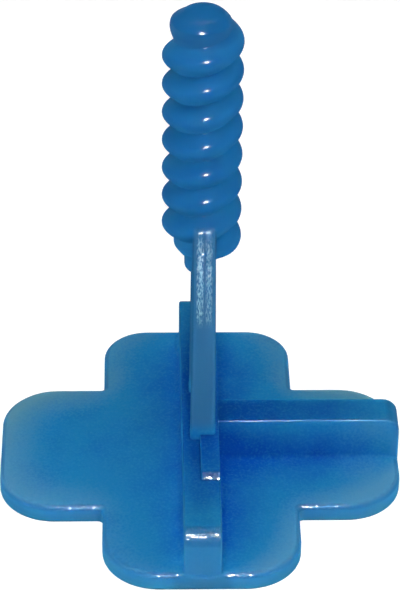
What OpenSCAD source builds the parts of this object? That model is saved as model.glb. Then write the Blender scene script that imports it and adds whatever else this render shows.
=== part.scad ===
// Screw-type tile levelling clip for a T joint, moulded in one piece.
// A cross-shaped base plate carries three spacer ribs and a two-legged break-off strap,
// and the strap ends in a coarse right-hand rounded thread for a clamping nut.
// The origin is the middle of the plate's underside. +Z runs up the stem, +X along the single side rib.

/* [Base plate] */
// Span of the cross-shaped plate, from arm end to arm end
base_span = 33; // [26:0.5:50]
// Width of each arm of the plate
arm_w = 16; // [12:0.5:22]
// Thickness of the plate
plate_t = 1.6; // [1.2:0.1:3]
// Radius of the corners at the arm ends, seen from above
arm_corner_r = 4.6; // [1.5:0.1:5]
// Radius of the corners at the end of the back arm
back_corner_r = 3.7; // [1.5:0.1:5]
// Radius of the rounding along the plate's upper edge
plate_edge_r = 0.5; // [0.2:0.05:0.8]

/* [Spacer ribs] */
// Thickness of the ribs, which is the joint left between the tiles
joint_w = 3; // [2:0.1:5]
// Height of the ribs above the plate
rib_h = 3.75; // [2:0.05:6]
// Radius of the upper corner at the free end of each rib
rib_end_r = 1.3; // [0.6:0.1:1.8]
// Radius of the rounding along the upper edges of the ribs
rib_edge_r = 0.3; // [0.1:0.05:0.6]
// How far the free end of the front rib leans back at its top
front_lean = 0.6; // [0:0.1:1]
// Length of the raised pad in front of each leg, on the side rib's half of the long rib
pad_l = 5.4; // [2:0.1:8]
// Height of the raised pads above the ribs
pad_h = 0.5; // [0.2:0.05:0.8]

/* [Break-off strap] */
// Width of the strap from front to back, over both legs
strap_w = 8.1; // [6.6:0.1:10]
// Width of each leg, from front to back
leg_w = 1.8; // [1:0.1:2.4]
// Thickness of the legs at the ribs, where they snap off
foot_t = 2.05; // [1.2:0.05:2.6]
// Thickness of the strap where it ends on the thread
strap_top_t = 1.75; // [1:0.05:2.4]
// Offset of the strap from the middle, towards the side rib
strap_shift = 0.2; // [0:0.05:0.4]
// Radius of the rounding along the legs' outer upright edges
leg_edge_r = 0.3; // [0.1:0.05:0.5]
// Height of the open window between the legs, above the ribs
window_h = 14.25; // [8:0.25:25]
// Radius of the window's two upper corners
window_r = 1.3; // [0.5:0.1:1.8]
// Height to which the legs run up beside the thread, above the window
leg_rise = 5.75; // [4:0.25:8]

/* [Threaded stem] */
// Diameter over the thread's crests
thread_d = 6.3; // [5:0.1:8]
// Diameter at the thread's roots
core_d = 4.4; // [3.6:0.05:6]
// Rise of the thread in one turn
pitch = 2.53; // [1.8:0.01:4]
// Full turns of the thread, without the stretches in which it fades in and out
thread_turns = 7; // [3:1:12]
// Diameter of the neck between the strap's window and the thread
neck_d = 2.3; // [1.8:0.1:4]
// Offset of the neck from the middle, away from the side rib
neck_shift = 0.2; // [0:0.05:0.4]
// Height of the neck, with its rounded lower edge
neck_h = 1.5; // [1:0.1:4]
// Height of the cone that widens the neck to the thread's roots
cone_h = 1.2; // [0.6:0.1:3]
// Height from the top of the cone to the first full crest
first_crest_h = 0.6; // [0.3:0.1:2]
// Height from the last full crest to the tip's end face
tip_h = 2.8; // [1.8:0.1:5]
// Diameter of the tip's flat end face
tip_d = 2; // [1:0.1:4]
// Height of the rounded shoulder under the tip's end face
tip_round_h = 1.1; // [0.4:0.05:1.6]

/* [Hidden] */
clip_colour = "#1E6CA5";

// Pieces of the moulding run into each other by this much, so that they join as one solid
overlap = 0.5;
// Straight facets in each rounded edge
edge_facets = 5;
$fn = 64;

// Levels up the clip
rib_top = plate_t + rib_h;
window_top = rib_top + window_h;
neck_top = window_top + neck_h;
core_z = neck_top + cone_h;
first_crest_z = core_z + first_crest_h;
last_crest_z = first_crest_z + thread_turns * pitch;
tip_z = last_crest_z + tip_h;
leg_top = window_top + leg_rise;

// Stem surface: how it is divided, how the thread fades, and how its crests and its tip are rounded
stem_sides = 36;
rows_per_turn = 11;
stem_rows = ceil((tip_z - window_top) / pitch * rows_per_turn);
fade_in_turns = 0.5;
fade_out_turns = 0.85;
crest_power = 1.1;
tip_power = 1.25;
thread_depth = (thread_d - core_d) / 2;
neck_round_h = 0.45 * neck_h;
neck_flat_share = 0.55;

// Points of a rounded corner around centre c, from the side up to the top
function corner(c, r) = [
    for (i = [0:edge_facets])
        let (a = 90 * i / edge_facets)
        c + r * [cos(a), sin(a)]
];

// Half of a flat-bottomed section that is half_w wide and h high, with its upper edge rounded and leaning in
function half_section(half_w, h, r, lean = 0) =
    concat([[0, 0], [half_w, 0]], corner([half_w - lean - r, h - r], r), [[0, h]]);

// Draws its 2D child in the YZ plane and sweeps it along X, from x0 to x1
module along_x(x0, x1) {
    translate([x0, 0, 0])
        rotate([90, 0, 90])
            linear_extrude(x1 - x0)
                children();
}

// Draws its 2D child in the XZ plane and sweeps it along Y, over the width w around the middle
module across_y(w) {
    translate([0, w / 2, 0])
        rotate([90, 0, 0])
            linear_extrude(w)
                children();
}

// The same half section on both sides of the middle
module full_section(half_w, h, r) {
    half = half_section(half_w, h, r);
    polygon(half);
    mirror([1, 0])
        polygon(half);
}

// The end of an arm that points along +X, with corners of radius r and a rounded upper edge
module arm_end(r) {
    side_y = arm_w / 2 - r;
    translate([base_span / 2 - r, 0, 0]) {
        across_y(2 * side_y)
            polygon(half_section(r, plate_t, plate_edge_r));
        translate([0, side_y, 0])
            rotate_extrude(angle = 90)
                polygon(half_section(r, plate_t, plate_edge_r));
        translate([0, -side_y, 0])
            rotate([0, 0, -90])
                rotate_extrude(angle = 90)
                    polygon(half_section(r, plate_t, plate_edge_r));
    }
}

// One straight bar of the plate along X, with corners of radius low_r at its -X end and high_r at its +X end
module plate_bar(low_r, high_r) {
    along_x(low_r - base_span / 2, base_span / 2 - high_r)
        full_section(arm_w / 2, plate_t, plate_edge_r);
    rotate(180)
        arm_end(low_r);
    arm_end(high_r);
}

module base_plate() {
    plate_bar(arm_corner_r, arm_corner_r);
    rotate(90)
        plate_bar(arm_corner_r, back_corner_r);
}

// An upright wall from the middle out to x = reach, standing up to z = top, with rounded upper edges
module wall(reach, top, end_r, lean = 0) {
    foot_z = plate_t - plate_edge_r - overlap;
    translate([0, 0, foot_z])
        intersection() {
            along_x(0, reach)
                full_section(joint_w / 2, top - foot_z, rib_edge_r);
            across_y(2 * joint_w)
                polygon(half_section(reach, top - foot_z, end_r, lean));
        }
}

// The side rib, the two ribs of the long wall, and the pads on the side rib's half of that wall
module spacer_ribs() {
    for (turn = [-90, 0, 90])
        rotate(turn)
            wall(base_span / 2, rib_top, rib_end_r, turn < 0 ? front_lean : 0);
    pad_reach = strap_w / 2 + pad_l;
    for (turn = [-90, 90])
        intersection() {
            rotate(turn)
                wall(pad_reach, rib_top + pad_h, rib_end_r);
            translate([0, -base_span / 2, rib_top - overlap])
                cube([joint_w, base_span, pad_h + 2 * overlap]);
        }
}

// The strap seen from the side: two legs, the window between them, and tops that lean in to the thread
module strap_side() {
    lean_z = window_top + neck_h;
    foot_z = rib_top - overlap;
    half_w = strap_w / 2;
    half_window = half_w - leg_w;
    half_top = thread_d / 2;
    difference() {
        polygon([
            [-half_w, foot_z],
            [half_w, foot_z],
            [half_w, lean_z],
            [half_top, leg_top],
            [-half_top, leg_top],
            [-half_w, lean_z]
        ]);
        translate([0, foot_z - overlap])
            full_section(half_window, window_top - foot_z + overlap, window_r);
    }
}

// One half of the strap's thickness: a bar with rounded outer edges that leans in by the draft angle
module strap_half() {
    foot_z = rib_top - overlap;
    draft = atan((foot_t - strap_top_t) / 2 / (leg_top - foot_z));
    translate([0, 0, foot_z])
        rotate([0, -draft, 0])
            linear_extrude(leg_top - foot_z)
                rotate(-90)
                    full_section(strap_w / 2, foot_t / 2, leg_edge_r);
}

module strap() {
    translate([strap_shift, 0, 0])
        intersection() {
            along_x(-foot_t, foot_t)
                strap_side();
            union() {
                strap_half();
                mirror([1, 0, 0])
                    strap_half();
            }
        }
}

// Smooth step from 0 to 1
function ramp(t) = let (c = min(1, max(0, t))) c * c * (3 - 2 * c);

// Place along the helix, in turns from the first full crest, of the crest nearest to angle a and height z
function nearest_crest(a, z) = round((z - first_crest_z) / pitch - a / 360) + a / 360;

// How far the thread stands out from the core
function thread_out(a, z) =
    let (
        s = nearest_crest(a, z),
        off_crest = (z - first_crest_z) / pitch - s,
        fade_in = ramp((s + fade_in_turns) / fade_in_turns),
        fade_out = ramp((thread_turns + fade_out_turns - s) / fade_out_turns)
    )
    thread_depth * fade_in * fade_out * pow(abs(cos(180 * off_crest)), crest_power);

// Radius of the stem under its thread: neck, cone, core and rounded tip
function neck_r(z) =
    let (b = min(1, max(0, (window_top + neck_round_h - z) / neck_round_h)))
    neck_d / 2 * (neck_flat_share + (1 - neck_flat_share) * sqrt(1 - b * b));
function cone_r(z) = neck_d / 2 + (core_d - neck_d) / 2 * (z - neck_top) / cone_h;
function tip_r(z) =
    let (t = min(1, max(0, 1 - (tip_z - z) / tip_round_h)))
    tip_d / 2 + (core_d - tip_d) / 2 * pow(1 - pow(t, tip_power), 1 / tip_power);
function core_r(z) = z < neck_top ? neck_r(z) : z < core_z ? cone_r(z) : tip_r(z);

// How far the stem's middle stands aside: fully at the neck, and no longer at the top of the cone
function core_aside(z) = -neck_shift * min(1, max(0, (core_z - z) / cone_h));

module threaded_stem() {
    levels = [for (k = [0:stem_rows]) window_top + (tip_z - window_top) * k / stem_rows];
    angles = [for (i = [0:stem_sides - 1]) 360 * i / stem_sides];
    points = [
        for (z = levels)
            for (a = angles)
                let (r = core_r(z) + thread_out(a, z))
                [core_aside(z) + r * cos(a), r * sin(a), z]
    ];
    side_faces = [
        for (k = [0:stem_rows - 1])
            for (i = [0:stem_sides - 1])
                let (
                    low = k * stem_sides + i,
                    low_next = k * stem_sides + (i + 1) % stem_sides,
                    high = low + stem_sides,
                    high_next = low_next + stem_sides
                )
                each [[low, high, high_next], [low, high_next, low_next]]
    ];
    bottom_face = [for (i = [0:stem_sides - 1]) i];
    top_face = [for (i = [stem_sides - 1:-1:0]) stem_rows * stem_sides + i];
    polyhedron(points, concat(side_faces, [bottom_face, top_face]), convexity = 10);
}

module levelling_clip() {
    color(clip_colour) {
        base_plate();
        spacer_ribs();
        strap();
        threaded_stem();
    }
}

levelling_clip();
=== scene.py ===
import math

import bpy
import numpy as np
from mathutils import Matrix, Vector


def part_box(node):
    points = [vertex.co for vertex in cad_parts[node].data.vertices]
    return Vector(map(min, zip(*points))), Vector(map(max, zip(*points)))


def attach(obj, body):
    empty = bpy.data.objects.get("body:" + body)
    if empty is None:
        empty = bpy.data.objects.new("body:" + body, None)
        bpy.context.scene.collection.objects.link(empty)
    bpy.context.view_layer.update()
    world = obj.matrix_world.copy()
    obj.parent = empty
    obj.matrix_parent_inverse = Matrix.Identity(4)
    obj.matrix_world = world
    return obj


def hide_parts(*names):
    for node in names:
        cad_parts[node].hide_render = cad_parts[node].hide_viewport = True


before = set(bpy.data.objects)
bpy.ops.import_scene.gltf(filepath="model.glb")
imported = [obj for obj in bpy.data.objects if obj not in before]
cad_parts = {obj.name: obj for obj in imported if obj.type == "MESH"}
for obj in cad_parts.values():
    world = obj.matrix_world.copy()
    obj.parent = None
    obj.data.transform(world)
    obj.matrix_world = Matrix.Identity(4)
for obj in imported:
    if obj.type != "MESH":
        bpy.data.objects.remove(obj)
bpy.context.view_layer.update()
clipLow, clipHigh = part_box("levelling_clip")
mm = 0.001
print("frame loaded, clip box in mm:", [round(v / mm, 2) for v in (*clipLow, *clipHigh)])


# fields: negative inside the plastic, positive outside, about the distance to the surface
def softJoin(a, b, blend):
    share = np.clip(0.5 + 0.5 * (b - a) / blend, 0, 1)
    return b + (a - b) * share - blend * share * (1 - share)


def roundMeet(a, b, radius):  # both at once, with the edge between them rounded
    corner = np.hypot(np.maximum(a + radius, 0), np.maximum(b + radius, 0))
    return np.minimum(np.maximum(a, b) + radius, 0) + corner - radius


def boxOutline(x, y, halfX, halfY, radius):
    return roundMeet(np.abs(x) - halfX, np.abs(y) - halfY, radius)


def smoothRamp(t):
    t = np.clip(t, 0, 1)
    return t * t * (3 - 2 * t)


def between(first, second, share):
    return first + (second - first) * share


# base plate
plate = {
    "halfSpan": (clipHigh.x - clipLow.x) / 2,
    "armWidth": 16 * mm,
    "thickness": 1.6 * mm,
    "armCorner": 4.6 * mm,
    "backCorner": 3.7 * mm,
    "innerCorner": 0.5 * mm,
    "topEdge": 0.5 * mm,
    "bottomEdge": 0.15 * mm,
}


def plateOutline(x, y):
    halfArm = plate["armWidth"] / 2
    along = boxOutline(x, y, plate["halfSpan"], halfArm, plate["armCorner"])
    endCorner = np.where(y < 0, plate["armCorner"], plate["backCorner"])
    across = boxOutline(x, y, halfArm, plate["halfSpan"], endCorner)
    return softJoin(along, across, plate["innerCorner"])


def plateField(x, y, z):
    outline = plateOutline(x, y)
    upper = roundMeet(outline, z - plate["thickness"], plate["topEdge"])
    return roundMeet(upper, -z, plate["bottomEdge"])


# spacer ribs: a long wall from front to back with half-width pads on it, and one rib to the right
ribs = {
    "joint": 3 * mm,
    "top": plate["thickness"] + 3.75 * mm,
    "endRound": 1.3 * mm,
    "edge": 0.18 * mm,
    "frontLean": 0.6 * mm,
    "footFillet": 0.5 * mm,
    "filletFade": 1.5 * mm,
    "filletLeast": 0.05,
    "padReach": 9.45 * mm,
    "padHeight": 0.5 * mm,
    "padRound": 1.05 * mm,
    "padBlend": 0.12 * mm,
    "sunk": 0.8 * mm,
}


def ribField(along, across, z, lean=0):
    leant = along - plate["halfSpan"] + lean * np.clip(z / ribs["top"], 0, 1)
    end = roundMeet(leant, z - ribs["top"], ribs["endRound"])
    wall = roundMeet(np.abs(across) - ribs["joint"] / 2, end, ribs["edge"])
    foot = plate["thickness"] - ribs["sunk"] - z
    return np.maximum(np.maximum(wall, foot), -along - ribs["joint"] / 2)


def padField(along, across, z):
    padTop = ribs["top"] + ribs["padHeight"]
    end = roundMeet(along - ribs["padReach"], z - padTop, ribs["padRound"])
    quarter = ribs["joint"] / 4
    block = roundMeet(np.abs(across - quarter) - quarter, end, ribs["padBlend"] / 2)
    return np.maximum(block, ribs["top"] - ribs["sunk"] - z)


def ribsField(x, y, z):
    wall = ribField(np.abs(y), x, z, np.where(y < 0, ribs["frontLean"], 0))
    wall = softJoin(wall, padField(np.abs(y), x, z), ribs["padBlend"])
    wall = np.maximum(wall, np.abs(x) - ribs["joint"] / 2)
    return np.minimum(wall, ribField(x, y, z))


# break-off strap: two legs with a window between them, leaning in to the thread at the top
strap = {
    "halfWidth": 4.05 * mm,
    "legWidth": 1.8 * mm,
    "footThickness": 2.05 * mm,
    "topThickness": 1.75 * mm,
    "edge": 0.32 * mm,
    "windowTop": ribs["top"] + 14.25 * mm,
    "windowCorner": 1.3 * mm,
    "leanStart": ribs["top"] + 15.75 * mm,
    "legTop": ribs["top"] + 20 * mm,
    "halfTop": 3.15 * mm,
    "shift": 0.2 * mm,
    "footBlend": 0.15 * mm,
    "stripHalf": 0.6 * mm,
    "stripHeight": 0.12 * mm,
    "stripSlope": 0.2 * mm,
    "stripLow": ribs["top"] + 11.2 * mm,
    "stripFade": 1.4 * mm,
    "partingDepth": 0.07 * mm,
    "partingWidth": 0.08 * mm,
}


def stripShare(x, z):  # the raised strip on the upper part of each leg's outer face
    aside = np.abs(x - strap["shift"])
    across = smoothRamp(0.5 + (strap["stripHalf"] - aside) / strap["stripSlope"])
    return across * smoothRamp((z - strap["stripLow"]) / strap["stripFade"])


def strapField(x, y, z):
    side = np.abs(y)
    rise = strap["legTop"] - strap["leanStart"]
    run = strap["halfWidth"] - strap["halfTop"]
    lean = (side - strap["halfWidth"]) * rise + (z - strap["leanStart"]) * run
    lean = lean / math.hypot(rise, run)
    parting = np.exp(-(((x - strap["shift"]) / strap["partingWidth"]) ** 2))
    raised = (strap["stripHeight"] - strap["partingDepth"] * parting) * stripShare(x, z)
    face = np.maximum(side - strap["halfWidth"], lean) - raised
    outer = roundMeet(face, z - strap["legTop"], strap["edge"])
    halfWindow = strap["halfWidth"] - strap["legWidth"]
    window = roundMeet(side - halfWindow, z - strap["windowTop"], strap["windowCorner"])
    profile = np.maximum(outer, -window)
    height = np.clip((z - ribs["top"]) / (strap["legTop"] - ribs["top"]), 0, 1)
    halfThick = between(strap["footThickness"], strap["topThickness"], height) / 2
    bar = roundMeet(profile, np.abs(x - strap["shift"]) - halfThick, strap["edge"])
    return np.maximum(bar, ribs["top"] - ribs["sunk"] - z)


# threaded stem
stem = {
    "tipZ": clipHigh.z,
    "crestRadius": 3.15 * mm,
    "coreRadius": 2.2 * mm,
    "pitch": 2.53 * mm,
    "turns": 7,
    "fadeLow": 0.5,
    "fadeHigh": 0.85,
    "crestPower": 1.1,
    "tipHeight": 2.8 * mm,
    "tipRadius": 1.0 * mm,
    "tipRound": 1.1 * mm,
    "tipPower": 1.25,
    "tipEdge": 0.45 * mm,
    "neckRadius": 1.15 * mm,
    "neckShift": 0.2 * mm,
    "neckTop": strap["windowTop"] + 1.5 * mm,
    "neckRound": 0.675 * mm,
    "neckFlat": 0.55,
    "coneHeight": 1.2 * mm,
    "steepness": 0.75,
    "strapBlend": 0.12 * mm,
}


def aboveNeck(z):  # 0 along the neck, 1 above the cone
    return np.clip((z - stem["neckTop"]) / stem["coneHeight"], 0, 1)


def coreRadius(z):
    under = np.clip((strap["windowTop"] + stem["neckRound"] - z) / stem["neckRound"], 0, 1)
    neck = stem["neckRadius"] * between(stem["neckFlat"], 1, np.sqrt(1 - under * under))
    shoulder = np.clip(1 - (stem["tipZ"] - z) / stem["tipRound"], 0, 1)
    bevel = (1 - shoulder ** stem["tipPower"]) ** (1 / stem["tipPower"])
    core = between(stem["tipRadius"], stem["coreRadius"], bevel)
    return neck + (core - stem["neckRadius"]) * aboveNeck(z)


def threadDepth(angle, z):
    lastCrest = stem["tipZ"] - stem["tipHeight"]
    turn = (z - lastCrest) / stem["pitch"] + stem["turns"]
    nearest = np.round(turn - angle) + angle
    fade = smoothRamp(1 + nearest / stem["fadeLow"])
    fade = fade * smoothRamp(1 + (stem["turns"] - nearest) / stem["fadeHigh"])
    wave = np.abs(np.cos(np.pi * (turn - nearest))) ** stem["crestPower"]
    return (stem["crestRadius"] - stem["coreRadius"]) * fade * wave


def stemField(x, y, z):
    level = np.clip(z, strap["windowTop"], stem["tipZ"])
    aside = x + stem["neckShift"] * (1 - aboveNeck(level))
    angle = np.arctan2(y, aside) / (2 * np.pi)
    side = np.hypot(aside, y) - coreRadius(level) - threadDepth(angle, level)
    body = roundMeet(side * stem["steepness"], z - stem["tipZ"], stem["tipEdge"])
    return np.maximum(body, strap["windowTop"] - z)


def clipField(x, y, z):
    outline = plateOutline(x, y)
    fillet = np.clip(-outline / ribs["filletFade"], ribs["filletLeast"], 1)
    fillet = ribs["footFillet"] * fillet
    field = softJoin(plateField(x, y, z), ribsField(x, y, z), fillet)
    field = softJoin(field, strapField(x, y, z), strap["footBlend"])
    field = softJoin(field, stemField(x, y, z), stem["strapBlend"])
    return np.maximum(np.maximum(field, outline), -z)


# one closed mesh over the whole field, on a grid that is finest at the edges
mesher = {
    "margin": 0.46 * mm,
    "flatCell": 0.8 * mm,
    "growth": 0.35,
    "edgeCell": 0.1 * mm,
    "stemCell": 0.19 * mm,
    "seamCell": 0.05 * mm,
    "rimReach": 0.55 * mm,
    "wallReach": 0.32 * mm,
    "tipReach": 0.2 * mm,
    "stemReach": 4.6 * mm,
    "hold": 0.05,
    "settleSteps": 2,
    "leastSlope": 0.2,
    "leastLength": 1e-9,
    "probe": 0.004 * mm,
    "normalProbe": 0.2,
}
cellsAround = ((-1, -1), (0, -1), (0, 0), (-1, 0))  # the four cells around a grid edge


def gridAxis(start, end, details):  # each detail is a place, its reach and the cell there
    stops = [start]
    while stops[-1] < end:
        step = mesher["flatCell"]
        for place, reach, cell in details:
            beyond = max(0, abs(stops[-1] - place) - reach)
            step = min(step, cell + mesher["growth"] * beyond)
        stops.append(stops[-1] + step)
    return np.array(stops)


def bothSides(details):
    return details + [(-place, reach, cell) for place, reach, cell in details]


def gridAxes():
    edge = plate["halfSpan"] + mesher["margin"]
    fine = mesher["edgeCell"]
    rims = [
        (plate["armWidth"] / 2, mesher["rimReach"], fine),
        (plate["halfSpan"], mesher["rimReach"], fine),
        (ribs["joint"] / 2, mesher["wallReach"], fine),
    ]
    stemZone = (0, stem["crestRadius"], mesher["stemCell"])
    legX = [(strap["shift"], 2 * strap["partingWidth"], mesher["seamCell"])]
    for turn in (-1, 1):
        legX.append((strap["shift"] + turn * strap["footThickness"] / 2, strap["edge"], fine))
        legX.append((strap["shift"] + turn * strap["stripHalf"], strap["stripSlope"] / 2, fine))
    legY = [
        (strap["halfWidth"], strap["edge"], fine),
        (ribs["padReach"], ribs["padHeight"], fine),
    ]
    stemMiddle = (strap["windowTop"] + stem["tipZ"]) / 2
    stemHalf = (stem["tipZ"] - strap["windowTop"]) / 2
    levels = [
        (0, 2 * plate["bottomEdge"], fine),
        (plate["thickness"] - plate["topEdge"] / 2, plate["topEdge"] / 2, fine),
        (ribs["top"] + ribs["padHeight"] / 2, ribs["padHeight"], fine),
        (stemMiddle, stemHalf, mesher["stemCell"]),
        (stem["tipZ"], mesher["tipReach"], fine),
    ]
    return [
        gridAxis(-edge, edge, bothSides(rims) + legX + [stemZone]),
        gridAxis(-edge, edge, bothSides(rims + legY) + [stemZone]),
        gridAxis(-2 * mesher["margin"], stem["tipZ"] + mesher["margin"], levels),
    ]


def sampleField(axes):
    field = np.full([len(a) for a in axes], mesher["margin"])
    low = np.searchsorted(axes[2], ribs["top"] + 2 * ribs["padHeight"])
    x, y, z = np.meshgrid(axes[0], axes[1], axes[2][:low], indexing="ij")
    field[:, :, :low] = clipField(x, y, z)
    nearX = np.abs(axes[0]) <= mesher["stemReach"]
    nearY = np.abs(axes[1]) <= mesher["stemReach"]
    x, y, z = np.meshgrid(axes[0][nearX], axes[1][nearY], axes[2][low:], indexing="ij")
    field[np.ix_(nearX, nearY, np.arange(low, len(axes[2])))] = clipField(x, y, z)
    return field


def surfaceNet(axes, field):  # a point in each cell the surface passes, a quad on each edge it cuts
    cellShape = [n - 1 for n in field.shape]
    inside = field < 0
    quads, cuts, owners = [], [], []
    for axis in range(3):
        near = [slice(None)] * 3
        far = [slice(None)] * 3
        near[axis] = slice(None, -1)
        far[axis] = slice(1, None)
        start = np.argwhere(inside[tuple(near)] != inside[tuple(far)])
        end = start.copy()
        end[:, axis] += 1
        startValue = field[tuple(start.T)]
        share = startValue / (startValue - field[tuple(end.T)])
        cut = np.stack([axes[a][start[:, a]] for a in range(3)], axis=1)
        cut[:, axis] += share * (axes[axis][end[:, axis]] - axes[axis][start[:, axis]])
        corners = []
        for stepU, stepV in cellsAround:
            cell = start.copy()
            cell[:, (axis + 1) % 3] += stepU
            cell[:, (axis + 2) % 3] += stepV
            corners.append(np.ravel_multi_index(cell.T, cellShape))
        quad = np.stack(corners, axis=1)
        owners.append(quad.flatten())
        turned = startValue > 0
        quad[turned] = quad[turned][:, ::-1]
        quads.append(quad)
        cuts.append(cut)
    cells, owner = np.unique(np.concatenate(owners), return_inverse=True)
    points = edgePoints(np.concatenate(cuts), owner, len(cells))
    index = np.stack(np.unravel_index(cells, cellShape), axis=1)
    low = np.stack([axes[a][index[:, a]] for a in range(3)], axis=1)
    high = np.stack([axes[a][index[:, a] + 1] for a in range(3)], axis=1)
    return np.clip(points, low, high), np.searchsorted(cells, np.concatenate(quads))


def edgePoints(cuts, owner, count):  # in each cell, the point nearest to the planes at its cuts
    normals = np.repeat(unit(fieldSlope(cuts)), len(cellsAround), axis=0)
    cuts = np.repeat(cuts, len(cellsAround), axis=0)
    total = np.bincount(owner, minlength=count)
    middle = np.stack([np.bincount(owner, cuts[:, a], count) / total for a in range(3)], axis=1)
    offset = ((cuts - middle[owner]) * normals).sum(axis=1)
    matrix = np.empty((count, 3, 3))
    pull = np.empty((count, 3, 1))
    for a in range(3):
        pull[:, a, 0] = np.bincount(owner, normals[:, a] * offset, count)
        for b in range(3):
            matrix[:, a, b] = np.bincount(owner, normals[:, a] * normals[:, b], count)
    matrix += mesher["hold"] * total[:, None, None] * np.eye(3)
    return middle + np.linalg.solve(matrix, pull)[:, :, 0]


def unit(vectors):
    length = np.linalg.norm(vectors, axis=1, keepdims=True)
    return vectors / np.maximum(length, mesher["leastLength"])


def fieldSlope(points):
    slope = np.empty_like(points)
    for axis in range(3):
        step = np.zeros(3)
        step[axis] = mesher["probe"]
        ahead = clipField(*(points + step).T)
        slope[:, axis] = (ahead - clipField(*(points - step).T)) / (2 * mesher["probe"])
    return slope


def settle(points):  # draws the points onto the surface itself
    for _ in range(mesher["settleSteps"]):
        slope = fieldSlope(points)
        steep = np.maximum((slope * slope).sum(axis=1), mesher["leastSlope"])
        move = np.clip(clipField(*points.T) / steep, -mesher["edgeCell"], mesher["edgeCell"])
        points = points - slope * move[:, None]
    return points


def cornerNormals(points, quads):  # taken just inside each face, so that sharp edges stay sharp
    corners = points[quads]
    inner = corners + mesher["normalProbe"] * (corners.mean(axis=1, keepdims=True) - corners)
    return unit(fieldSlope(inner.reshape(-1, 3)))


# how much plastic lies around each point: little at the rims, much where ribs and plate meet
bulk = {"cell": 0.5 * mm, "spread": 2.4 * mm, "reach": 3, "margin": 4}


def plasticAround(points):
    margin = bulk["margin"] * bulk["spread"]
    low = np.array(clipLow) - margin
    shape = np.ceil((np.array(clipHigh) + margin - low) / bulk["cell"]).astype(int)
    axes = [low[a] + bulk["cell"] * np.arange(shape[a]) for a in range(3)]
    x, y, z = np.meshgrid(*axes, indexing="ij")
    filled = (clipField(x, y, z) < 0).astype(float)
    reach = int(bulk["reach"] * bulk["spread"] / bulk["cell"])
    offsets = np.arange(-reach, reach + 1)
    weights = np.exp(-0.5 * (offsets * bulk["cell"] / bulk["spread"]) ** 2)
    weights /= weights.sum()
    for axis in range(3):
        filled = sum(w * np.roll(filled, o, axis) for o, w in zip(offsets, weights))
    place = (points - low) / bulk["cell"]
    base = np.floor(place).astype(int)
    part = place - base
    around = np.zeros(len(points))
    for corner in np.ndindex(2, 2, 2):
        weight = np.prod(np.where(corner, part, 1 - part), axis=1)
        around += weight * filled[tuple((base + corner).T)]
    return around


# tint with painted light and shade, grain and shine over the surface
spread = {
    # depth of the tint, from the plastic around, and painted shade on the rib tops
    "rimAround": 0.12,
    "middleAround": 0.225,
    "deepAround": 0.45,
    "bareDepth": 0.8,  # left of the wall
    "ribTopShadeDepth": 0.18,
    "ribTopShadeAtEnd": 0.35,
    "ribFade": 12 * mm,
    # pale rims, weaker at the back and on the front arm's left, and greyer towards the back
    "backRim": 0.4,
    "frontRim": 0.35,
    "rightPale": 0.35,
    "rimChange": 4 * mm,
    "rearRimFrom": -2 * mm,
    "rearRimOver": 10 * mm,
    # painted light on the plate's sides, a darker tint on the rib ends, painted light in the
    # corners at the ribs' feet
    "endReach": 0.9 * mm,
    "endPale": 0.4,
    "endUnder": 0.45,
    "endFrom": 9 * mm,
    "endOver": 7 * mm,
    "cornerReach": 0.8 * mm,
    "cornerRight": 0.4,
    # legs and their strip: painted shade on the legs, their flanks and the strip's sides, painted
    # glints on the strip
    "legRise": 1.5 * mm,
    "flankFrom": 0.5,
    "flankOver": 0.4,
    "stripTop": 1.8 * mm,
    "stripRight": 0.6,
    "stripShadeLine": 0.7,
    "partingBare": 1.6,
    # thread: how much painted shade the crests and the tip get
    "threadCrest": 0.65,
    "tipCrest": 0.85,
    "change": 0.3 * mm,
    # which way a surface faces
    "levelFrom": 0.3,
    "levelOver": 0.6,
    "edgeFrom": 0.1,
    "edgeOver": 0.15,
    "edgeTop": 0.99,
    "edgeTopOver": 0.05,
    "facingFrom": 0.1,
    "facingOver": 0.3,
    # grain
    "threadGrain": 0.02,
    "baseGrain": 0.15,
    "edgeGrain": 0.4,
    "stripGrain": 1.0,
    # shine
    "threadShine": 0.04,
    "tipShine": 0.1,
    "edgeShine": 0.35,
    "ribShine": 0.25,
    "padShine": 0.6,
    "lineShine": 0.4,
    "lineFade": 0.8,
    "stripShine": 0.3,
    # roughness
    "threadRough": 0.17,
    "baseRough": 0.32,
    "filletRough": 1.0,
}


def tintDepth(points, level, height):  # how pale the rims are, how deep the thick places, and the painted shade on the rib tops
    x, y, _ = points.T
    inward = (plate["halfSpan"] - np.maximum(np.abs(x), np.abs(y))) / spread["ribFade"]
    inward = between(spread["ribTopShadeAtEnd"], 1, smoothRamp(inward))
    around = plasticAround(points) + spread["ribTopShadeDepth"] * height * inward * level
    deep = (around - spread["middleAround"]) / (spread["deepAround"] - spread["middleAround"])
    deep = deep * between(1, spread["bareDepth"], smoothRamp(-2 * x / ribs["joint"]))
    rim = (spread["middleAround"] - around) / (spread["middleAround"] - spread["rimAround"])
    halfArm, change = plate["armWidth"] / 2, spread["rimChange"]
    onBack = smoothRamp((y - halfArm) / change)
    onFrontLeft = smoothRamp(0.5 - (y + halfArm) / change) * smoothRamp(-x / change)
    onRightFront = smoothRamp((x - halfArm) / change - 0.5) * smoothRamp(-y / change)
    rim = rim * between(1, spread["backRim"], onBack)
    rim = rim * between(1, spread["frontRim"], onFrontLeft)
    rim = np.maximum(rim, 0) + spread["rightPale"] * onRightFront
    return np.clip(rim, 0, 1), np.clip(deep, 0, 1)


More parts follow.
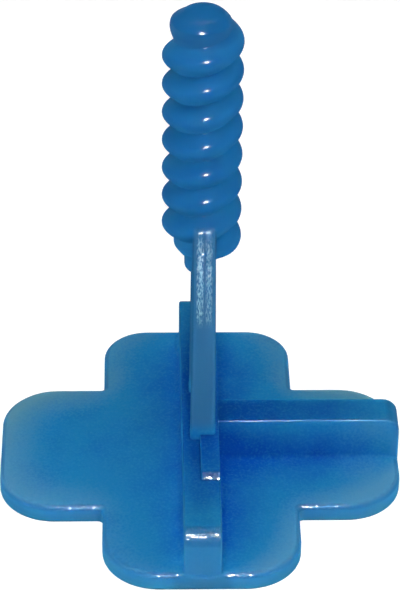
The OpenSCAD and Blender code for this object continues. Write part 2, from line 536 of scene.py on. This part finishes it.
def edgeGlints(x, z, slope, height):  # upper edges, the ones that face front or back, their shine
    up = slope[:, 2]
    edge = smoothRamp((up - spread["edgeFrom"]) / spread["edgeOver"])
    edge = edge * smoothRamp((spread["edgeTop"] - up) / spread["edgeTopOver"])
    facing = smoothRamp((np.abs(slope[:, 1]) - spread["facingFrom"]) / spread["facingOver"])
    onPad = smoothRamp((z - ribs["top"]) / ribs["padBlend"])
    line = height * smoothRamp((x - ribs["joint"] / 2) / ribs["joint"])
    line = line * (1 - spread["lineFade"] * smoothRamp(x / plate["halfSpan"]))
    shine = between(spread["edgeShine"], spread["ribShine"], height)
    shine = between(shine, spread["padShine"], onPad)
    return edge, facing, between(shine, spread["lineShine"], line)


def legStrip(x, y, z):  # the raised strip, where painted glints go, and the painted shade lines at its sides
    aside = x - strap["shift"]
    outward = smoothRamp((np.abs(y) - strap["halfTop"] + spread["change"]) / spread["change"])
    strip = stripShare(x, z) * outward * smoothRamp((strap["legTop"] - z) / spread["stripTop"])
    groove = np.exp(-((aside / (spread["partingBare"] * strap["partingWidth"])) ** 2))
    # less painted glint in the parting groove and on the right half
    glinting = (1 - groove) * np.where(aside < 0, 1, spread["stripRight"])
    border = np.exp(-(((np.abs(aside) - strap["stripHalf"]) / strap["partingWidth"]) ** 2))
    rising = smoothRamp((z - strap["stripLow"]) / strap["stripFade"])
    return strip, glinting, spread["stripShadeLine"] * border * outward * rising


def surfaceShares(points):
    x, y, z = points.T
    slope = unit(fieldSlope(points))
    level = smoothRamp((slope[:, 2] - spread["levelFrom"]) / spread["levelOver"])
    # the strap's side faces, which get painted shade
    flank = smoothRamp((np.abs(slope[:, 0]) - spread["flankFrom"]) / spread["flankOver"])
    height = smoothRamp((z - plate["thickness"]) / (ribs["top"] - plate["thickness"]))
    rim, deep = tintDepth(points, level, height)
    toPlate, toRibs, toStrap = (part(x, y, z) for part in (plateField, ribsField, strapField))
    toBase = np.minimum(toPlate, toRibs)
    thread = np.minimum(toBase, toStrap) - stemField(x, y, z)
    thread = smoothRamp(0.5 + thread / spread["change"])
    # crests and tip get painted shade, the roots painted light
    crest = (np.hypot(x, y) - stem["coreRadius"]) / (stem["crestRadius"] - stem["coreRadius"])
    onTip = smoothRamp((z - stem["tipZ"] + stem["tipHeight"]) / stem["tipRound"])
    crest = np.maximum(spread["threadCrest"] * np.clip(crest, 0, 1), spread["tipCrest"] * onTip)
    fillet = smoothRamp(2 - 2 * np.abs(toPlate - toRibs) / ribs["footFillet"])
    fillet = np.maximum(fillet, smoothRamp(2 - np.abs(toBase - toStrap) / strap["footBlend"]))
    edge, facing, shine = edgeGlints(x, z, slope, height)
    edge = edge * (1 - thread) * (1 - fillet)
    outline = plateOutline(x, y)
    # painted light in the corners where plate and ribs meet, weaker right of the wall
    corner = np.clip(-outline / ribs["filletFade"], 0, 1)
    corner = corner * np.exp(-np.maximum(toPlate, toRibs) / spread["cornerReach"])
    corner = corner * np.where(x < 0, 1, spread["cornerRight"])
    # the plate's side faces: painted light goes here, and a darker tint on the rib ends
    side = (1 - level) * smoothRamp(1 + outline / spread["endReach"])
    underRib = spread["endUnder"] * smoothRamp(1.5 - toRibs / ribs["sunk"])
    beyond = np.maximum(np.abs(x), np.abs(y)) - spread["endFrom"]
    ribEnd = (1 - level) * (1 - side) * height * smoothRamp(beyond / spread["endOver"])
    strip, glinting, border = legStrip(x, y, z)
    strip = strip * (1 - thread)
    rough = between(spread["baseRough"], spread["filletRough"], fillet)
    grain = between(spread["baseGrain"], spread["edgeGrain"], edge * facing)
    grain = between(grain, spread["threadGrain"], thread)
    polish = between(spread["threadShine"], spread["tipShine"], onTip)
    return {
        "rimShare": rim * level + spread["endPale"] * ribEnd,
        "deepShare": deep,
        # painted light on the plate's side faces
        "sideLightShare": side,
        "endShare": side * np.maximum(height, underRib),
        # painted light in the corners at the ribs' feet
        "cornerLightShare": np.clip(corner, 0, 1),
        "rearRimShare": smoothRamp((y - spread["rearRimFrom"]) / spread["rearRimOver"]),
        # where the legs' painted shade starts
        "legShare": smoothRamp((z - ribs["top"] - ribs["padHeight"]) / spread["legRise"]),
        # painted shade on the strap's sides and beside the strip
        "flankShadeShare": np.maximum(flank, border),
        # painted shade on the ribs' top faces
        "ribTopShadeShare": height * level,
        "threadShare": thread,
        # painted shade on the rounded upper edges
        "edgeShadeShare": edge,
        # painted shade on the crests, painted light in the roots
        "crestShadeShare": crest,
        # where the painted glints go
        "stripShare": strip * glinting,
        "rough": between(rough, spread["threadRough"], thread),
        "grain": between(grain, spread["stripGrain"], strip),
        "edgeShine": shine * edge * facing,
        "evenShine": polish * thread + spread["stripShine"] * strip,
    }


def pointValues(mesh, name, values):
    layer = mesh.attributes.new(name, "FLOAT", "POINT")
    layer.data.foreach_set("value", values.astype(np.float32))


def makeClip():
    axes = gridAxes()
    points, quads = surfaceNet(axes, sampleField(axes))
    points = np.clip(settle(points), np.array(clipLow), np.array(clipHigh))
    mesh = bpy.data.meshes.new("clipMoulding")
    mesh.from_pydata(points.tolist(), [], quads.tolist())
    mesh.polygons.foreach_set("use_smooth", np.ones(len(quads), dtype=bool))
    mesh.normals_split_custom_set(cornerNormals(points, quads).tolist())
    for name, values in surfaceShares(points).items():
        pointValues(mesh, name, values)
    mesh.update()
    clip = bpy.data.objects.new("clipMoulding", mesh)
    bpy.context.collection.objects.link(clip)
    print("clip mesh:", len(points), "points,", 2 * len(quads), "triangles")
    return clip


# translucent blue plastic
plastic = {
    "rimTint": (0.072, 0.262, 0.456, 1),
    # the rims turn greyer towards the back
    "rearRimTint": (0.100, 0.265, 0.355, 1),
    "middleTint": (0.012, 0.190, 0.430, 1),
    "deepTint": (0.0022, 0.068, 0.350, 1),
    # painted light: the plate's side faces lighter than its top
    "sideLightPaint": (0.035, 0.240, 0.500, 1),
    # painted shade with a painted grey sheen: the legs darker and greyer than the base
    "legShadePaint": (0.032, 0.145, 0.300, 1),
    # painted shade: the strap's side faces and the dark lines at the strip's sides
    "flankShadePaint": (0.018, 0.110, 0.255, 1),
    # painted light and shade on the thread: roots lighter, crests darker, all of it darker than the
    # base
    "rootLightPaint": (0.014, 0.155, 0.390, 1),
    "crestShadePaint": (0.007, 0.092, 0.250, 1),
    # painted light: brightens the corners at the ribs' feet, against the shade that falls there
    "cornerLightPaint": (1.5, 1.5, 1.5, 1),
    # painted shade: the ribs' top faces darker
    "ribTopShadePaint": (0.92, 0.86, 0.81, 1),
    "endTint": (0.031, 0.134, 0.285, 1),
    # painted shade: the rounded upper edges darker, against the light they catch
    "edgeShadePaint": (0.70, 0.75, 0.80, 1),
    # painted glints: pale flecks standing in for the sparkle of light on the strip
    "glintPaintTint": (0.270, 0.500, 0.640, 1),
    "glintPaintSize": 0.11 * mm,
    "glintPaintStretch": 0.3,
    "glintPaintRange": (0.4, 0.62),
    "noiseRange": (0.3, 0.7),
    "cloudSize": 3.2 * mm,
    "cloudDetail": 4,
    "cloudShift": 0.17,
    "fleckSize": 0.22 * mm,
    "fleckDetail": 2,
    "fleckShift": 0.1,
    "glintSize": 0.12 * mm,
    "glintDetail": 1,
    "glintRange": (0.5, 0.53),
    "facetSize": 0.11 * mm,
    "facetTilt": 0.7,
    "waveSize": 1.1 * mm,
    "waveDetail": 2,
    "waveHeight": 0.012 * mm,
    "glowShare": 1.0,
    "glowColours": (0.3, 0.8, 1.0),
    "glowReach": 2.5 * mm,
    "bending": 1.49,
    "shineLevel": 0.0,
    "skinBending": 1.6,
    "skinRoughness": 0.18,
}


def addNode(tree, kind, place, **settings):
    node = tree.nodes.new(kind)
    node.location = place
    for name, value in settings.items():
        setattr(node, name, value)
    return node


def feed(tree, socket, value):  # an output is linked, a value is set
    if isinstance(value, bpy.types.NodeSocket):
        tree.links.new(value, socket)
    else:
        socket.default_value = value


def addNoise(tree, place, size, detail):
    coords = addNode(tree, "ShaderNodeTexCoord", (place[0] - 200, place[1]))
    noise = addNode(tree, "ShaderNodeTexNoise", place)
    noise.inputs["Scale"].default_value = 1 / size
    noise.inputs["Detail"].default_value = detail
    tree.links.new(coords.outputs["Object"], noise.inputs["Vector"])
    return noise.outputs["Fac"]


def mapRange(tree, place, source, fromRange, toRange):
    node = addNode(tree, "ShaderNodeMapRange", place)
    names = ("From Min", "From Max", "To Min", "To Max")
    for name, value in zip(names, (*fromRange, *toRange)):
        node.inputs[name].default_value = value
    tree.links.new(source, node.inputs["Value"])
    return node.outputs["Result"]


def addMath(tree, place, operation, first, second):
    node = addNode(tree, "ShaderNodeMath", place, operation=operation)
    for socket, value in zip(node.inputs, (first, second)):
        feed(tree, socket, value)
    return node.outputs[0]


def addShare(tree, place, name):
    return addNode(tree, "ShaderNodeAttribute", place, attribute_name=name).outputs["Fac"]


def mixTints(tree, place, share, first, second, blend="MIX"):
    mix = addNode(tree, "ShaderNodeMix", place, data_type="RGBA", blend_type=blend)
    sockets = mix.inputs["Factor"], mix.inputs[6], mix.inputs[7]  # 6 and 7 are the two colours
    for socket, value in zip(sockets, (share, first, second)):
        feed(tree, socket, value)
    return mix.outputs[2]


def mixByShare(tree, place, name, first, second, blend="MIX"):
    share = addShare(tree, (place[0], place[1] + 250), name)
    return mixTints(tree, place, share, first, second, blend)


def addBump(tree, place, height, distance):
    bump = addNode(tree, "ShaderNodeBump", place)
    bump.inputs["Distance"].default_value = distance
    tree.links.new(height, bump.inputs["Height"])
    return bump.outputs["Normal"]


def addVector(tree, place, operation, first, second=None):
    node = addNode(tree, "ShaderNodeVectorMath", place, operation=operation)
    tree.links.new(first, node.inputs[0])
    if second is not None:
        feed(tree, node.inputs["Scale" if operation == "SCALE" else 1], second)
    return node.outputs["Vector"]


def addPaintedGlints(tree, place):  # painted glints: pale marks drawn out along the leg, standing in for the sparkle of light on the strip
    left, row = place
    coords = addNode(tree, "ShaderNodeTexCoord", (left - 600, row)).outputs["Object"]
    stretch = (1, 1, plastic["glintPaintStretch"])
    drawn = addVector(tree, (left - 400, row), "MULTIPLY", coords, stretch)
    noise = addNode(tree, "ShaderNodeTexNoise", (left - 200, row))
    noise.inputs["Scale"].default_value = 1 / plastic["glintPaintSize"]
    tree.links.new(drawn, noise.inputs["Vector"])
    marks = mapRange(tree, place, noise.outputs["Fac"], plastic["glintPaintRange"], (0, 1))
    strip = addShare(tree, (left, row + 250), "stripShare")
    return addMath(tree, (left + 200, row), "MULTIPLY", marks, strip)


def addFacets(tree, place, grained, under):  # small facets, each tilted its own way
    left, row = place
    middle = (0.5, 0.5, 0.5)  # the cells' colours run from 0 to 1
    coords = addNode(tree, "ShaderNodeTexCoord", (left - 800, row)).outputs["Object"]
    cells = addNode(tree, "ShaderNodeTexVoronoi", (left - 600, row))
    cells.inputs["Scale"].default_value = 1 / plastic["facetSize"]
    tree.links.new(coords, cells.inputs["Vector"])
    tilt = addVector(tree, (left - 400, row), "SUBTRACT", cells.outputs["Color"], middle)
    amount = addMath(tree, (left - 400, row + 200), "MULTIPLY", grained, plastic["facetTilt"])
    tilt = addVector(tree, (left - 200, row), "SCALE", tilt, amount)
    tilted = addVector(tree, place, "ADD", under, tilt)
    return addVector(tree, (left + 200, row), "NORMALIZE", tilted)


def plasticColour(tree):  # the middle tint, deeper in thick places, paler at the rims, cloudy, with painted light and shade over it and painted glints on the strip
    clouds = addNoise(tree, (-2300, 60), plastic["cloudSize"], plastic["cloudDetail"])
    flecks = addNoise(tree, (-2300, 360), plastic["fleckSize"], plastic["fleckDetail"])
    cloudRange = -plastic["cloudShift"], plastic["cloudShift"]
    fleckRange = -plastic["fleckShift"], plastic["fleckShift"]
    shift = mapRange(tree, (-2100, 60), clouds, plastic["noiseRange"], cloudRange)
    fine = mapRange(tree, (-2100, 360), flecks, plastic["noiseRange"], fleckRange)
    shift = addMath(tree, (-1900, 160), "ADD", shift, fine)
    deep = addMath(tree, (-1700, 260), "ADD", addShare(tree, (-1900, 400), "deepShare"), shift)
    rim = addMath(tree, (-1700, 560), "SUBTRACT", addShare(tree, (-1900, 660), "rimShare"), fine)
    pale = mixByShare(
        tree, (-1700, 900), "rearRimShare", plastic["rimTint"], plastic["rearRimTint"])
    leg = mixByShare(
        tree, (-900, 900), "flankShadeShare", plastic["legShadePaint"], plastic["flankShadePaint"])
    thread = mixByShare(
        tree, (-700, 900), "crestShadeShare", plastic["rootLightPaint"], plastic["crestShadePaint"])
    tint = mixTints(tree, (-1500, 260), deep, plastic["middleTint"], plastic["deepTint"])
    tint = mixTints(tree, (-1350, 260), rim, tint, pale)
    # light and shade painted over the tint: lighter sides, corners and thread roots, darker rib
    # tops, edges, legs and thread crests
    layers = (
        ("sideLightShare", plastic["sideLightPaint"], "MIX"),
        ("endShare", plastic["endTint"], "MIX"),
        ("cornerLightShare", plastic["cornerLightPaint"], "MULTIPLY"),
        ("ribTopShadeShare", plastic["ribTopShadePaint"], "MULTIPLY"),
        ("edgeShadeShare", plastic["edgeShadePaint"], "MULTIPLY"),
        ("legShare", leg, "MIX"),
        ("threadShare", thread, "MIX"),
    )
    for step, (name, over, blend) in enumerate(layers):
        tint = mixByShare(tree, (150 * step - 1200, 260), name, tint, over, blend)
    return mixTints(tree, (-150, 260), addPaintedGlints(tree, (-400, 1260)), tint, plastic["glintPaintTint"])


def plasticShine(tree):  # even on the thread and the strip, broken into glints along the edges
    glints = addNoise(tree, (-1300, -760), plastic["glintSize"], plastic["glintDetail"])
    glints = mapRange(tree, (-1100, -760), glints, plastic["glintRange"], (0, 1))
    edges = addShare(tree, (-1100, -1060), "edgeShine")
    broken = addMath(tree, (-900, -760), "MULTIPLY", edges, glints)
    even = addShare(tree, (-900, -1060), "evenShine")
    return addMath(tree, (-700, -760), "ADD", broken, even)


def makePlastic():
    material = bpy.data.materials.new("clipPlastic")
    material.use_nodes = True
    tree = material.node_tree
    waves = addNoise(tree, (-900, -320), plastic["waveSize"], plastic["waveDetail"])
    waves = addBump(tree, (-660, -320), waves, plastic["waveHeight"])
    normal = addFacets(tree, (-400, -420), addShare(tree, (-1000, -120), "grain"), waves)
    settings = {
        "Base Color": plasticColour(tree),
        "Roughness": addShare(tree, (-200, -60), "rough"),
        "Normal": normal,
        "Coat Normal": normal,
        "Coat Weight": plasticShine(tree),
        "Coat IOR": plastic["skinBending"],
        "Coat Roughness": plastic["skinRoughness"],
        "IOR": plastic["bending"],
        "Specular IOR Level": plastic["shineLevel"],
        "Subsurface Weight": plastic["glowShare"],
        "Subsurface Radius": plastic["glowColours"],
        "Subsurface Scale": plastic["glowReach"],
    }
    shader = tree.nodes["Principled BSDF"]
    for name, value in settings.items():
        feed(tree, shader.inputs[name], value)
    print("plastic made")
    return material


clip = makeClip()
clip.data.materials.append(makePlastic())
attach(clip, "root")
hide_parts("levelling_clip")


# pale floor that shows white and keeps the shadow
floorLook = {
    "halfSide": 3.0,
    "tint": (0.6, 0.6, 0.6, 1),
    "seenTint": (0.34, 0.34, 0.34, 1),
    "seenGlow": (0.81, 1),
    "glowReach": (0.12, 0.5),
}


def makeFloor():
    half = floorLook["halfSide"]
    mesh = bpy.data.meshes.new("floor")
    corners = [(-half, -half, 0), (half, -half, 0), (half, half, 0), (-half, half, 0)]
    mesh.from_pydata(corners, [], [(0, 1, 2, 3)])
    floor = bpy.data.objects.new("floor", mesh)
    bpy.context.collection.objects.link(floor)
    material = bpy.data.materials.new("paleFloor")
    material.use_nodes = True
    tree = material.node_tree
    tree.nodes.clear()
    bounce = addNode(tree, "ShaderNodeBsdfDiffuse", (-400, 100))
    bounce.inputs["Color"].default_value = floorLook["tint"]
    seen = addNode(tree, "ShaderNodeBsdfDiffuse", (-400, -100))
    seen.inputs["Color"].default_value = floorLook["seenTint"]
    glow = addNode(tree, "ShaderNodeEmission", (-400, -250))
    coords = addNode(tree, "ShaderNodeTexCoord", (-1000, -250)).outputs["Object"]
    away = addNode(tree, "ShaderNodeVectorMath", (-800, -250), operation="LENGTH")
    tree.links.new(coords, away.inputs[0])
    strength = mapRange(
        tree, (-600, -250), away.outputs["Value"], floorLook["glowReach"], floorLook["seenGlow"])
    tree.links.new(strength, glow.inputs["Strength"])
    both = addNode(tree, "ShaderNodeAddShader", (-200, -150))
    tree.links.new(seen.outputs[0], both.inputs[0])
    tree.links.new(glow.outputs[0], both.inputs[1])
    mix = addNode(tree, "ShaderNodeMixShader", (0, 0))
    tree.links.new(seenRays(tree, (-700, 300)), mix.inputs[0])
    tree.links.new(bounce.outputs[0], mix.inputs[1])
    tree.links.new(both.outputs[0], mix.inputs[2])
    output = addNode(tree, "ShaderNodeOutputMaterial", (200, 0))
    tree.links.new(mix.outputs[0], output.inputs["Surface"])
    mesh.materials.append(material)
    print("floor laid")


def seenRays(tree, place):  # 1 for what the camera sees directly, in a reflection or through glass
    left, row = place
    path = addNode(tree, "ShaderNodeLightPath", place).outputs
    rays = path["Is Camera Ray"]
    for step, name in enumerate(("Is Glossy Ray", "Is Transmission Ray"), start=1):
        rays = addMath(tree, (left + 180 * step, row), "MAXIMUM", rays, path[name])
    return rays


makeFloor()


# studio light: a flash by the camera, ceiling lights, panels around, and a dim room with pale walls
# some lamps only fill and others only make highlights
studio = {
    "aim": (0, 0, 20 * mm),
    "lamps": {
        "softFlash": {
            "azimuth": 0, "elevation": 38, "distance": 0.17,
            "size": (0.03, 0.03), "power": 0.176, "shines": False,
        },
        "sparkFlash": {
            "azimuth": 0, "elevation": 38, "distance": 0.26,
            "size": (0.022, 0.022), "power": 6.0, "fills": False,
        },
        "ceilingLight": {
            "azimuth": 0, "elevation": 78, "distance": 0.75,
            "size": (0.45, 0.3), "power": 2.05,
        },
        "ceilingTube": {
            "azimuth": 0, "elevation": 86, "distance": 0.6,
            "size": (1.0, 0.05), "power": 3.0, "fills": False,
        },
        "rightPanel": {
            "azimuth": 66, "elevation": 25, "distance": 0.8,
            "size": (0.4, 0.4), "power": 1.3, "shines": False,
        },
        "leftPanel": {
            "azimuth": -60, "elevation": 18, "distance": 0.8,
            "size": (0.4, 0.4), "power": 1.15, "shines": False,
        },
        "backPanel": {
            "azimuth": 180, "elevation": 20, "distance": 0.8,
            "size": (0.5, 0.5), "power": 1.0, "shines": False,
        },
    },
    "wall": 1.0,
    "room": 0.06,
    "wallEnds": 3,
    "roomStarts": 12,
}


def fromAngles(azimuth, elevation):
    a, e = math.radians(azimuth), math.radians(elevation)
    return Vector((math.sin(a) * math.cos(e), -math.cos(a) * math.cos(e), math.sin(e)))


def areaLight(name, lamp):
    aim = Vector(studio["aim"])
    away = fromAngles(lamp["azimuth"], lamp["elevation"])
    data = bpy.data.lights.new(name, "AREA")
    data.shape = "RECTANGLE"
    data.size, data.size_y = lamp["size"]
    data.energy = lamp["power"]
    light = bpy.data.objects.new(name, data)
    light.location = aim + away * lamp["distance"]
    light.rotation_mode = "QUATERNION"
    light.rotation_quaternion = away.to_track_quat("Z", "Y")
    light.visible_camera = False
    light.visible_glossy = lamp.get("shines", True)
    light.visible_diffuse = lamp.get("fills", True)
    bpy.context.collection.objects.link(light)


def lightStudio():
    for name, lamp in studio["lamps"].items():
        areaLight(name, lamp)
    world = bpy.data.worlds.new("studioRoom")
    bpy.context.scene.world = world
    world.use_nodes = True
    tree = world.node_tree
    back = tree.nodes["Background"]
    direction = addNode(tree, "ShaderNodeTexCoord", (-900, 0))
    height = addNode(tree, "ShaderNodeSeparateXYZ", (-700, 0))
    tree.links.new(direction.outputs["Generated"], height.inputs["Vector"])
    heights = [math.sin(math.radians(studio[name])) for name in ("wallEnds", "roomStarts")]
    strengths = studio["wall"], studio["room"]
    strength = mapRange(tree, (-400, 0), height.outputs["Z"], heights, strengths)
    tree.links.new(strength, back.inputs["Strength"])
    back.inputs["Color"].default_value = (1, 1, 1, 1)
    print("studio lit")


lightStudio()


# camera where the photo was taken from, fitted to the plate's corners, the ribs and the crests
shot = {
    "imageWidth": 400,
    "imageHeight": 591,
    "focalPixels": 2936.3,
    "azimuth": -1.385,
    "elevation": 35.138,
    "roll": 0.569,
    "distance": 236.37 * mm,
    "target": (-0.055 * mm, 0, 16.936 * mm),
    "sensor": 36,
    "clipRange": (0.01, 20),
}


def makeCamera():
    data = bpy.data.cameras.new("photoCamera")
    data.sensor_width = shot["sensor"]
    longSide = max(shot["imageWidth"], shot["imageHeight"])
    data.lens = shot["focalPixels"] / longSide * shot["sensor"]
    data.clip_start, data.clip_end = shot["clipRange"]
    camera = bpy.data.objects.new("photoCamera", data)
    bpy.context.collection.objects.link(camera)
    azimuth, roll = math.radians(shot["azimuth"]), math.radians(shot["roll"])
    back = fromAngles(shot["azimuth"], shot["elevation"])
    right = Vector((math.cos(azimuth), math.sin(azimuth), 0))
    up = back.cross(right)
    sideways = right * math.cos(roll) + up * math.sin(roll)
    upright = up * math.cos(roll) - right * math.sin(roll)
    turn = Matrix((sideways, upright, back)).transposed()
    place = Vector(shot["target"]) + back * shot["distance"]
    camera.matrix_world = Matrix.Translation(place) @ turn.to_4x4()
    bpy.context.scene.camera = camera
    print("camera placed")


makeCamera()
bpy.context.scene.view_settings.view_transform = "Standard"

print("scene ready")
